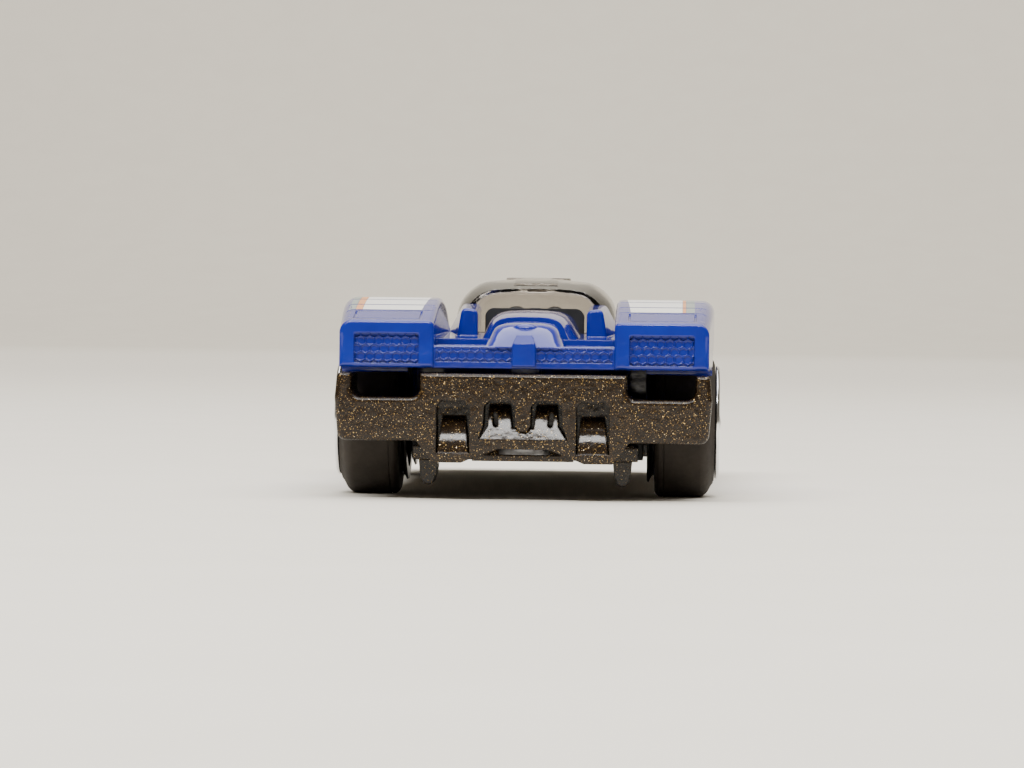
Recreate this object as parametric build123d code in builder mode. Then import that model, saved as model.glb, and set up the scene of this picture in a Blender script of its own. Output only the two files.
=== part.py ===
"""Diecast collector car at about 1:64: a low closed racing prototype with tall rear pontoons.

The nose points along +Y, the tail along -Y, X runs across the car and Z is up.  The origin is on the
ground under the middle of the car.  All sizes are millimetres.

Blue diecast body_shell over a metal-flake chassis_base, joined by two posts spun over at their ends.
A smoked canopy and a black interior_tub are trapped between them.  Two steel axles lie in slots in
the base, and each carries two wheels, a plastic rim with a rubber tyre on it.
"""

import math
import os

from build123d import *

os.makedirs("parts", exist_ok=True)

# ---------------------------------------------------------------- driving dimensions
LENGTH = 74.0
TAIL_Y = -LENGTH / 2  # rear face of the bumper
NOSE_Y = LENGTH / 2
WHEELBASE = 44.0
REAR_AXLE_Y = -22.6
FRONT_AXLE_Y = REAR_AXLE_Y + WHEELBASE
REAR_R = 6.55  # tyre radii
FRONT_R = 5.6
AXLE_R = 0.5
AXLE_HEAD_R = 0.95
AXLE_CLEARANCE = 0.05
HEAD_INSET = 0.25  # the heads sit inside the rim's outer lip
TYRE_INSET = 0.4  # the rim's outer lip stands proud of the tyre
FIT = 0.08  # gap round parts that drop in

BODY_REAR_Y = TAIL_Y + 0.8  # rear face of the blue shell
PONTOON_INNER_X = 7.67
PONTOON_REAR_X = 15.7  # outer edge of the pontoon's rear face
PONTOON_FLANK_R = 1.1  # roundings of the pontoon's outer and inner shoulders
PONTOON_INNER_R = 0.5
SHELL_BOTTOM_Z = 11.2  # underside of the shell over the bumper
SILL_Z = 4.7  # parting line along the flanks
BUMPER_TOP_Z = 10.75
NOTCH_XS = (8.77, 14.6)  # the notches let the eye through under the grilles
FLOOR_Z = 3.2  # underside of the chassis
FLOOR_TOP_Z = 4.4
WING_BOTTOM_Z = 5.0

DECK_REAR_Z = 13.1
DECK_Z = 13.7
DECK_STEP_Y = BODY_REAR_Y + 5.2

WELL_GAP = 0.75  # round the tyres
WELL_SIDE_GAP = 0.25  # inboard of the wheels
BUMPER_FRONT_Y = REAR_AXLE_Y - REAR_R - WELL_GAP
FENDER_EDGE_Y = BUMPER_FRONT_Y + 1.3

CANOPY_BASE_Z = 11.8
CANOPY_WALL = 0.7
REAR_THINNING = 0.4  # the wall thins towards the open rear edge
CANOPY_REAR_Y = -9.0
FLANGE_X = 8.0  # the canopy's flange under the shell
FLANGE_YS = (-11.6, 14.6)
FLANGE_TOP_Z = 12.3
TUB_X = 7.4
TUB_YS = (-11.6, 13.6)
TUB_FLOOR_Z = 4.8

POST_R = 1.4
POST_YS = (TAIL_Y + 5.0, 29.8)  # the two fixing posts
POST_HEAD_R = 2.2
POST_HEAD_ZS = (3.8, 4.35)  # each spun head bears up against the base
ARCH_Z = 4.4

SIDES = {"left": -1, "right": 1}
# axle: place along the car, tyre radius, rim radius, inner and outer faces of the wheel
WHEELS = {
    "rear": (REAR_AXLE_Y, REAR_R, 4.7, 10.45, 16.75),
    "front": (FRONT_AXLE_Y, FRONT_R, 4.0, 12.45, 16.35),
}


def save(part, name):
    """Labels a finished piece and writes it as one STEP file."""
    part.label = name
    export_step(part, f"parts/{name}.step")


def side_plane(x):
    """A sketch plane at x, seen from the car's right: local x runs forward and local y up."""
    return Plane(origin=(x, 0, 0), x_dir=(0, 1, 0), z_dir=(1, 0, 0))


def cross_plane(y):
    """A sketch plane at y, seen from behind: local x runs to the right and local y up; normal to the tail."""
    return Plane(origin=(0, y, 0), x_dir=(1, 0, 0), z_dir=(0, -1, 0))


# ---------------------------------------------------------------- pontoons
# A pontoon runs from tail to nose: rear fender, side pod, front fender.
PONTOON_TOP = [
    (BODY_REAR_Y, 15.15),
    (-30.0, 16.4),
    (-22.5, 17.2),
    (-14.5, 16.2),
    (-7.0, 13.7),
    (1.0, 12.3),
    (10.0, 12.5),
    (19.0, 13.9),
    (26.0, 13.1),
    (32.0, 10.2),
    (35.4, 6.6),
]
PONTOON_SIDE = [
    (PONTOON_REAR_X, BODY_REAR_Y),
    (16.0, -29.0),
    (16.2, -21.0),
    (15.3, -10.0),
    (14.6, 1.0),
    (15.4, 12.0),
    (16.1, 21.0),
    (15.5, 30.0),
    (13.2, 35.4),
]

with BuildPart() as pontoon:
    with BuildSketch(side_plane(0)):
        with BuildLine():
            crown = Spline(*PONTOON_TOP)
            Polyline(
                crown @ 1,
                (36.0, SILL_Z),
                (FENDER_EDGE_Y, SILL_Z),
                (FENDER_EDGE_Y, SHELL_BOTTOM_Z),
                (BODY_REAR_Y, SHELL_BOTTOM_Z),
                crown @ 0,
            )
        make_face()
    extrude(amount=20)
    with BuildSketch(Plane.XY):
        with BuildLine():
            flank = Spline(*PONTOON_SIDE)
            Polyline(
                flank @ 1,
                (11.0, 36.0),
                (7.4, 33.0),
                (6.9, 14.0),
                (PONTOON_INNER_X, -12.0),
                (PONTOON_INNER_X, BODY_REAR_Y),
                flank @ 0,
            )
        make_face()
    extrude(amount=20, mode=Mode.INTERSECT)
    shoulder = pontoon.edges().filter_by(lambda e: e.length > 60).sort_by(Axis.Z)[-1]
    fillet(shoulder, radius=PONTOON_FLANK_R)
    inner_top = (
        pontoon.edges()
        .filter_by(lambda e: abs(e.center().X - PONTOON_INNER_X) < 0.01 and e.length > 20)
        .sort_by(Axis.Z)[-1]
    )
    fillet(inner_top, radius=PONTOON_INNER_R)
    fillet(pontoon.faces().sort_by(Axis.Y)[0].edges(), radius=0.3)

# ---------------------------------------------------------------- middle of the shell
# Rear deck, cabin shoulders and nose.
MIDDLE_TOP = [
    (DECK_STEP_Y, DECK_Z),
    (-18.0, 13.8),
    (-8.0, 14.3),
    (4.0, 14.0),
    (13.0, 12.3),
    (22.0, 9.7),
    (30.0, 7.6),
    (36.4, 5.7),
]
with BuildPart() as middle:
    with BuildSketch(side_plane(-12.0)):
        with BuildLine():
            spine = Spline(*MIDDLE_TOP)
            Polyline(
                spine @ 1,
                (36.6, SILL_Z),
                (FENDER_EDGE_Y, SILL_Z),
                (FENDER_EDGE_Y, SHELL_BOTTOM_Z),
                (BODY_REAR_Y + 0.4, SHELL_BOTTOM_Z),
                (BODY_REAR_Y + 0.4, DECK_REAR_Z),
                (DECK_STEP_Y, DECK_REAR_Z),
                spine @ 0,
            )
        make_face()
    extrude(amount=24)
    with BuildSketch(Plane.XY):
        with BuildLine():
            waist = Spline(
                (PONTOON_INNER_X + 0.2, -14.0),
                (9.0, -5.0),
                (9.2, 4.0),
                (8.0, 14.0),
                (7.6, 24.0),
                (7.0, 33.0),
                (0.0, 36.7),
                tangents=[(0, 1), (-1, 0)],
            )
            Polyline(
                waist @ 0,
                (PONTOON_INNER_X + 0.2, BODY_REAR_Y),
                (0.0, BODY_REAR_Y),
                waist @ 1,
            )
        make_face()
        mirror(about=Plane.YZ)
    extrude(amount=20, mode=Mode.INTERSECT)
    rear_lip = middle.edges().filter_by(Axis.X).group_by(Axis.Y)[0].sort_by(Axis.Z)
    fillet(rear_lip[-1], radius=0.3)

# ---------------------------------------------------------------- engine cover
# A tall cover behind the cabin ends in a small step, and a lower tail cone runs on to the rear edge.
COVER_SPLIT_Y = BODY_REAR_Y + 8.9
COVER_FRONT_Y = -11.2
COVER_FOOT_Z = 12.9
# station along the car: half width at the deck, height of the ridge
COVER_STATIONS = [
    (COVER_SPLIT_Y, 3.75, 15.62),
    (-23.4, 4.2, 16.0),
    (-18.0, 4.5, 16.2),
    (COVER_FRONT_Y, 4.6, 16.25),
]
CONE_STATIONS = [
    (BODY_REAR_Y + 0.25, 3.3, 13.05),
    (-35.0, 3.35, 13.75),
    (-33.2, 3.4, 14.75),
    (-31.0, 3.42, 15.1),
    (COVER_SPLIT_Y + 0.3, 3.45, 15.3),
]
# shares of the half width and of the height above the deck
COVER_SHAPE = [(1.0, 0.0), (0.9, 0.42), (0.77, 0.78), (0.55, 0.95), (0.3, 0.99), (0.0, 1.0)]


def ridge_body(stations, shape, foot_z):
    """A lofted ridge: each station's section is a spline over the shape's shares, mirrored."""
    with BuildPart() as body:
        for y, half, top in stations:
            with BuildSketch(cross_plane(y)):
                with BuildLine():
                    side = Spline(
                        *[(half * a, foot_z + (top - foot_z) * b) for a, b in shape],
                        tangents=[(0, 1), (-1, 0)],
                    )
                    Line(side @ 1, (0, foot_z))
                    Line((0, foot_z), side @ 0)
                make_face()
                mirror(about=Plane.YZ)
        loft()
    return body.part


upper_cover = ridge_body(COVER_STATIONS, COVER_SHAPE, COVER_FOOT_Z)
tail_cone = ridge_body(CONE_STATIONS, COVER_SHAPE, COVER_FOOT_Z)

# ---------------------------------------------------------------- cabin canopy
# station along the car: half width at the base, height of the roof
CANOPY_STATIONS = [
    (CANOPY_REAR_Y, 6.7, 18.2),
    (-5.5, 7.45, 18.8),
    (-1.5, 7.7, 19.1),
    (3.0, 7.4, 18.4),
    (7.5, 6.6, 16.4),
    (11.5, 5.7, 14.0),
    (14.0, 5.1, 12.6),
]
# the section's shape, as shares of its half width and its height
CANOPY_SHAPE = [(1.0, 0.0), (0.975, 0.49), (0.9, 0.745), (0.8, 0.865), (0.675, 0.945), (0.46, 0.985), (0.0, 1.0)]


def canopy_body(stations, inset, base_z):
    """The canopy as a solid, drawn in by the inset."""
    drawn_in = [(y, half - inset, top - inset) for y, half, top in stations]
    return ridge_body(drawn_in, CANOPY_SHAPE, base_z)


canopy_outer = canopy_body(CANOPY_STATIONS, 0.0, CANOPY_BASE_Z)
# the opening in the shell is a little wider than the canopy at its rear
canopy_opening = canopy_body(
    [(CANOPY_REAR_Y, 6.9, 18.45), (-5.5, 7.5, 19.0), *CANOPY_STATIONS[2:]], -FIT, CANOPY_BASE_Z - 0.5
)
canopy_inner = canopy_body(
    [(CANOPY_REAR_Y - 0.1, 6.7 + REAR_THINNING, 18.2 + REAR_THINNING), *CANOPY_STATIONS[1:-1]],
    CANOPY_WALL,
    CANOPY_BASE_Z - 0.5,
)
roof_skin = canopy_body(CANOPY_STATIONS, -0.13, CANOPY_BASE_Z)

SCOOP_TOP_Z = 19.25
SCOOP_MOUTH_Y = -1.8
SCOOP_PAD = [(1.1, SCOOP_MOUTH_Y), (3.0, 0.5), (2.6, 2.4), (1.2, 3.0)]
SCOOP_FUNNEL = [(2.0, -7.0), (1.95, -4.6), (1.3, -2.8), (1.1, SCOOP_MOUTH_Y), (1.1, 0.0)]


def mirrored(points):
    """The points, then the same points on the car's other side in reverse order."""
    return points + [(-x, y) for x, y in reversed(points)]


with BuildPart() as funnel:
    with BuildSketch(Plane.XY.offset(CANOPY_BASE_Z + 5.5)):
        with BuildLine():
            Polyline(*mirrored(SCOOP_FUNNEL), close=True)
        make_face()
    extrude(amount=2.0)
    add(roof_skin, mode=Mode.INTERSECT)

with BuildPart() as canopy:
    add(canopy_outer)
    with BuildSketch(Plane.XY.offset(CANOPY_BASE_Z)):
        with Locations((0, (FLANGE_YS[0] + FLANGE_YS[1]) / 2)):
            RectangleRounded(2 * FLANGE_X, FLANGE_YS[1] - FLANGE_YS[0], 1.5)
    extrude(amount=FLANGE_TOP_Z - CANOPY_BASE_Z)
    # roof scoop: a winged pad, with a funnel running back from it
    with BuildSketch(Plane.XY.offset(SCOOP_TOP_Z - 1.0)):
        with BuildLine():
            Polyline(*mirrored(SCOOP_PAD), close=True)
        make_face()
    extrude(amount=1.0)
    fillet(canopy.faces().sort_by(Axis.Z)[-1].edges(), radius=0.12)
    add(funnel.part)
    add(canopy_inner, mode=Mode.SUBTRACT)
    with BuildSketch(Plane.XY.offset(CANOPY_BASE_Z - 1.0)):
        with Locations((0, -9.9)):
            Rectangle(11.5, 2.4)
    extrude(amount=2.0, mode=Mode.SUBTRACT)
    with BuildSketch(cross_plane(SCOOP_MOUTH_Y - 0.5)):
        with Locations((0, SCOOP_TOP_Z - 0.22)):
            RectangleRounded(1.9, 0.26, 0.08)
    extrude(amount=-2.0, mode=Mode.SUBTRACT)

# ---------------------------------------------------------------- body shell
PILLAR_YS = (-16.5, -9.2)  # rear and front of the pillars beside the cover
PILLAR_INNER_X = 4.87
HEX_PITCH = 0.76
HEX_ROW = HEX_PITCH * 0.866
HEX_R = 0.385
HEX_DEPTH = 0.14
INSET_XS = (8.94, 14.45)
INSET_ZS = (SHELL_BOTTOM_Z + 0.35, 14.1)
INSET_DEPTH = 0.32
BAND_XS = (1.1, 7.5)
BAND_ZS = (11.75, 12.95)
LOUVRE_DS = (5.2, 7.7, 10.9, 14.2)  # stripes across the fender, from the rear face of the bumper
GROOVE = 0.2
GROOVE_DEPTH = 0.15


def honeycomb(xs, zs, face_y):
    """Shallow cells that fill a panel on both sides of the car, sunk into a face that looks at the tail."""
    with BuildPart() as cells:
        with BuildSketch(cross_plane(face_y + HEX_DEPTH)):
            for row in range(math.ceil((zs[1] - zs[0]) / HEX_ROW) + 1):
                for column in range(-1, math.ceil((xs[1] - xs[0]) / HEX_PITCH) + 1):
                    x = xs[0] + (column + 0.5 * (row % 2)) * HEX_PITCH
                    with Locations((x, zs[1] - row * HEX_ROW), (-x, zs[1] - row * HEX_ROW)):
                        RegularPolygon(HEX_R, 6, rotation=30)
            with Locations(*[(side * (xs[0] + xs[1]) / 2, (zs[0] + zs[1]) / 2) for side in SIDES.values()]):
                Rectangle(xs[1] - xs[0], zs[1] - zs[0], mode=Mode.INTERSECT)
        extrude(amount=3 * HEX_DEPTH)
    return cells.part


with BuildPart() as pillar:
    with BuildSketch(cross_plane(PILLAR_YS[0])):
        with BuildLine():
            Polyline((PILLAR_INNER_X, 13.3), (PILLAR_INNER_X, 16.2), (6.3, 16.4), (6.75, 13.3), close=True)
        make_face()
    with BuildSketch(cross_plane(PILLAR_YS[1])):
        with BuildLine():
            Polyline((PILLAR_INNER_X, 13.3), (PILLAR_INNER_X, 16.75), (6.5, 16.75), (8.3, 13.3), close=True)
        make_face()
    loft(ruled=True)
    ridges = pillar.edges().filter_by(lambda e: e.length > 5 and e.center().Z > 15)
    fillet(ridges, radius=0.55)
    fillet(pillar.faces().sort_by(Axis.Y)[0].edges().filter_by(lambda e: e.center().Z > 14), radius=0.3)

with BuildPart() as engraving:
    with BuildSketch(Plane.XY.offset(6.0)):
        for d in LOUVRE_DS:
            with Locations((11.7, TAIL_Y + d)):
                Rectangle(7.4, GROOVE)
        with Locations((11.7, TAIL_Y + 3.2)):
            Rectangle(5.8, 3.2)
            Rectangle(5.4, 2.8, mode=Mode.SUBTRACT)
        # front clip and rear deck shut lines
        with Locations((11.7, 11.0), (11.7, -14.0)):
            Rectangle(12.0, GROOVE)
        for slot in range(5):
            with Locations((12.0, 18.2 + slot * 1.5)):
                Rectangle(5.2, 0.7)
    extrude(amount=14.0)
    add(Pos(0, 0, -GROOVE_DEPTH) * pontoon.part, mode=Mode.SUBTRACT)
with BuildPart() as side_engraving:
    with BuildSketch(side_plane(10.0)):
        with BuildLine():
            Polyline((-10.5, 6.0), (-11.5, 12.6), (-6.0, 12.6), (-1.5, 11.2), (-2.5, 6.0), close=True)
        make_face()
        offset(amount=-GROOVE, mode=Mode.SUBTRACT)
    extrude(amount=8.0)
    add(Pos(-GROOVE_DEPTH, 0, 0) * pontoon.part, mode=Mode.SUBTRACT)

with BuildPart() as bracket:
    with BuildSketch(side_plane(-1.0)):
        with BuildLine():
            Polyline(
                (BODY_REAR_Y - 0.2, 11.4),
                (BODY_REAR_Y - 0.2, 13.3),
                (BODY_REAR_Y + 0.4, 14.06),
                (BODY_REAR_Y + 1.6, 14.06),
                (BODY_REAR_Y + 1.6, 11.4),
                close=True,
            )
        make_face()
    extrude(amount=2.0)
    with BuildSketch(cross_plane(BODY_REAR_Y - 1.0)):
        with BuildLine():
            Polyline((-1.0, 11.4), (1.0, 11.4), (1.0, 13.2), (0.62, 14.06), (-0.62, 14.06), (-1.0, 13.2), close=True)
        make_face()
    extrude(amount=-4.0, mode=Mode.INTERSECT)
    outer = bracket.faces().sort_by(Axis.Y)[0].edges()
    fillet(outer.filter_by(lambda e: e.center().Z > 11.5), radius=0.18)

with BuildPart() as badge:
    Sphere(1.1)
    scale(by=(1.0, 0.75, 0.42))
badge.part.position = (0, TAIL_Y + 4.0, 14.6)

with BuildPart() as body_shell:
    add(pontoon.part)
    add(engraving.part, mode=Mode.SUBTRACT)
    add(side_engraving.part, mode=Mode.SUBTRACT)
    # lamp recess, and duct in the pontoon's front
    with BuildSketch(Plane(origin=(12.0, 31.4, 10.25), x_dir=(1, 0, 0), z_dir=(0, 0.56, 0.83))):
        SlotOverall(4.2, 2.0)
    extrude(amount=3.0, mode=Mode.SUBTRACT)
    with BuildSketch(cross_plane(36.4)):
        with Locations((10.6, 5.9)):
            RectangleRounded(3.4, 1.2, 0.4)
    extrude(amount=1.6, mode=Mode.SUBTRACT)
    add(mirror(body_shell.part, about=Plane.YZ))
    add(middle.part)
    add(upper_cover)
    add(tail_cone)
    add(pillar.part)
    add(mirror(pillar.part, about=Plane.YZ))
    # centre bracket over the rear edge
    add(bracket.part)
    add(badge.part)
    # honeycomb grilles
    for side in SIDES.values():
        with BuildSketch(cross_plane(BODY_REAR_Y + INSET_DEPTH)):
            with Locations((side * (INSET_XS[0] + INSET_XS[1]) / 2, (INSET_ZS[0] + INSET_ZS[1]) / 2)):
                RectangleRounded(INSET_XS[1] - INSET_XS[0], INSET_ZS[1] - INSET_ZS[0], 0.25)
        extrude(amount=2.0, mode=Mode.SUBTRACT)
    add(honeycomb(INSET_XS, INSET_ZS, BODY_REAR_Y + INSET_DEPTH), mode=Mode.SUBTRACT)
    add(honeycomb(BAND_XS, BAND_ZS, BODY_REAR_Y + 0.4), mode=Mode.SUBTRACT)
    # cabin opening, the seat of the canopy flange and the space for the tub
    add(canopy_opening, mode=Mode.SUBTRACT)
    with BuildSketch(Plane.XY.offset(SILL_Z - 1.0)):
        with Locations((0, (FLANGE_YS[0] + FLANGE_YS[1]) / 2)):
            RectangleRounded(2 * (FLANGE_X + FIT), FLANGE_YS[1] - FLANGE_YS[0] + 2 * FIT, 1.5)
    extrude(amount=FLANGE_TOP_Z + FIT - SILL_Z + 1.0, mode=Mode.SUBTRACT)
    with BuildSketch(Plane.XY.offset(SILL_Z)):
        with Locations((0, -10.0)):
            Rectangle(9.7, 3.2)
    extrude(amount=14.0, mode=Mode.SUBTRACT)
    # wheel wells and the bays between them
    for axle_y, tyre_r, _, inner_x, _ in WHEELS.values():
        well_x = inner_x - WELL_SIDE_GAP
        for side in SIDES.values():
            with BuildSketch(side_plane(side * (well_x + 5.0))):
                with Locations((axle_y, tyre_r)):
                    Circle(tyre_r + WELL_GAP)
            extrude(amount=5.0, both=True, mode=Mode.SUBTRACT)
    rear_bay_x = WHEELS["rear"][3] - WELL_SIDE_GAP + 0.1
    with Locations((0, REAR_AXLE_Y, SILL_Z)):
        Box(2 * rear_bay_x, 14.6, 7.6, align=(Align.CENTER, Align.CENTER, Align.MIN), mode=Mode.SUBTRACT)
    front_bay_x = WHEELS["front"][3] - WELL_SIDE_GAP + 0.1
    with Locations((0, FRONT_AXLE_Y - 0.4, SILL_Z - 1.0)):
        Box(2 * front_bay_x, 11.6, 3.4, align=(Align.CENTER, Align.CENTER, Align.MIN), mode=Mode.SUBTRACT)
    # pockets cast in from below
    for side in SIDES.values():
        with Locations((side * 11.7, -33.1, SHELL_BOTTOM_Z - 0.5)):
            Box(5.0, 4.6, 2.9, align=(Align.CENTER, Align.CENTER, Align.MIN), mode=Mode.SUBTRACT)
        with Locations((side * 11.2, 0.5, SILL_Z - 0.5)):
            Box(4.8, 25.0, 6.2, align=(Align.CENTER, Align.CENTER, Align.MIN), mode=Mode.SUBTRACT)
    with Locations((0, 30.3, SILL_Z - 1.0)):
        Box(13.0, 7.6, 2.4, align=(Align.CENTER, Align.CENTER, Align.MIN), mode=Mode.SUBTRACT)
    # side intakes behind the front wheels
    for side in SIDES.values():
        with BuildSketch(side_plane(side * 14.9)):
            with BuildLine():
                Polyline((1.0, 6.4), (0.2, 9.6), (7.6, 10.0), (8.6, 6.4), close=True)
            make_face()
        extrude(amount=1.0, both=True, mode=Mode.SUBTRACT)
    # fixing posts, spun over under the base
    for post_y in POST_YS:
        with BuildSketch(Plane.XY.offset(POST_HEAD_ZS[0])):
            with Locations((0, post_y)):
                Circle(POST_HEAD_R)
        extrude(amount=POST_HEAD_ZS[1] - POST_HEAD_ZS[0])
        with BuildSketch(Plane.XY.offset(POST_HEAD_ZS[0])):
            with Locations((0, post_y)):
                Circle(POST_R)
        extrude(amount=(SHELL_BOTTOM_Z + 0.5 if post_y < 0 else SILL_Z + 1.9) - POST_HEAD_ZS[0])
save(body_shell.part, "body_shell")
save(canopy.part, "canopy")

# ---------------------------------------------------------------- interior tub
SEAT_X = 2.9
with BuildPart() as interior_tub:
    tub_mid_y = (TUB_YS[0] + TUB_YS[1]) / 2
    with BuildSketch(Plane.XY.offset(TUB_FLOOR_Z)):
        with Locations((0, tub_mid_y)):
            RectangleRounded(2 * TUB_X, TUB_YS[1] - TUB_YS[0], 1.2)
    extrude(amount=CANOPY_BASE_Z - 0.1 - TUB_FLOOR_Z)
    with BuildSketch(Plane.XY.offset(TUB_FLOOR_Z + 0.8)):
        with Locations((0, tub_mid_y + 1.0)):
            RectangleRounded(2 * TUB_X - 1.6, TUB_YS[1] - TUB_YS[0] - 3.6, 0.8)
    extrude(amount=10.0, mode=Mode.SUBTRACT)
    # rear bulkhead with two headrests
    with BuildSketch(cross_plane(-9.6)):
        with Locations((0, 13.6)):
            RectangleRounded(9.0, 5.6, 0.8)
    extrude(amount=-1.6)
    with Locations((-1.75, -7.4, 15.35), (1.75, -7.4, 15.35)):
        Sphere(1.25)
    with Locations((0, -7.6, 16.2)):
        Box(1.0, 1.6, 0.5)
    # two seats, each a cushion and a raked back
    for side in SIDES.values():
        with Locations((side * SEAT_X, -1.2, TUB_FLOOR_Z + 1.8)):
            Box(3.9, 6.4, 2.4)
        with BuildSketch(side_plane(side * SEAT_X - 1.95)):
            with BuildLine():
                Polyline((-8.6, 5.4), (-8.6, 14.2), (-6.9, 14.2), (-3.6, 8.0), (-3.6, 5.4), close=True)
            make_face()
        extrude(amount=3.9)
    # fascia, and the column with its wheel
    with BuildSketch(side_plane(-TUB_X + 0.4)):
        with BuildLine():
            Polyline((6.6, 9.6), (6.6, 11.0), (8.0, 11.6), (12.4, 11.4), (12.4, 8.0), close=True)
        make_face()
    extrude(amount=2 * TUB_X - 0.8)
    wheel_tilt = Plane(origin=(-SEAT_X, 4.9, 10.9), x_dir=(1, 0, 0), z_dir=(0, -0.9, 0.44))
    with BuildSketch(wheel_tilt):
        Circle(1.5)
        Circle(1.1, mode=Mode.SUBTRACT)
        Rectangle(2.6, 0.5)
    extrude(amount=0.4)
    with BuildSketch(wheel_tilt):
        Circle(0.35)
    extrude(amount=-2.6)
save(interior_tub.part, "interior_tub")

# ---------------------------------------------------------------- chassis base
WING_SECTION = [
    (0.0, ARCH_Z),
    (2.1, ARCH_Z),
    (4.5, 3.5),
    (5.2, FLOOR_Z),
    (7.6, FLOOR_Z),
    (9.0, WING_BOTTOM_Z),
    (15.7, WING_BOTTOM_Z),
    (16.0, 8.6),
    (15.8, BUMPER_TOP_Z),
    (0.0, BUMPER_TOP_Z),
]
NOTCH_BOTTOM_Z = 8.68


def flipped(points):
    """The points on the car's other side."""
    return [(-x, z) for x, z in points]


OUTER_RECESS = [(4.5, 4.0), (4.5, 8.0), (4.95, 8.5), (6.9, 8.5), (7.35, 8.0), (7.35, 4.0)]
OUTER_RAMP = [(4.62, 3.9), (4.95, 7.3), (6.85, 7.3), (7.23, 3.9)]
OUTER_SLOPE = [(0.04, 4.0), (0.45, 5.1), (1.0, 6.1), (1.6, 6.8), (2.5, 7.1)]
INNER_RECESS = [(3.8, 5.2), (3.38, 6.4), (3.32, 8.0), (2.87, 8.5), (1.1, 8.5), (0.66, 8.0), (0.62, 6.3), (0.3, 5.95)]
INNER_RAMP = [(3.75, 5.1), (2.98, 6.3), (2.85, 8.3), (1.15, 8.3), (0.95, 6.1)]
INNER_SLOPE = [(0.0, 5.2), (0.4, 6.1), (0.85, 7.0), (1.4, 7.75), (2.5, 8.1)]
# outline of each recess, and its ramp from the front and from the side
DIFFUSER = [
    (OUTER_RECESS, OUTER_RAMP, OUTER_SLOPE),
    (flipped(OUTER_RECESS), flipped(OUTER_RAMP), OUTER_SLOPE),
    (mirrored(INNER_RECESS), mirrored(INNER_RAMP), INNER_SLOPE),
]
FIN_X = 8.4
FIN_TIP_Z = 1.05
FIN_YS = (-29.6, -26.6)
CLIP_HALF_Y = 2.4
CLIP_SIDE_GAP = 0.35  # between a clip's end and the wheel
CLIP_END = 1.6  # width of a clip's end block and its slot in the base

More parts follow.
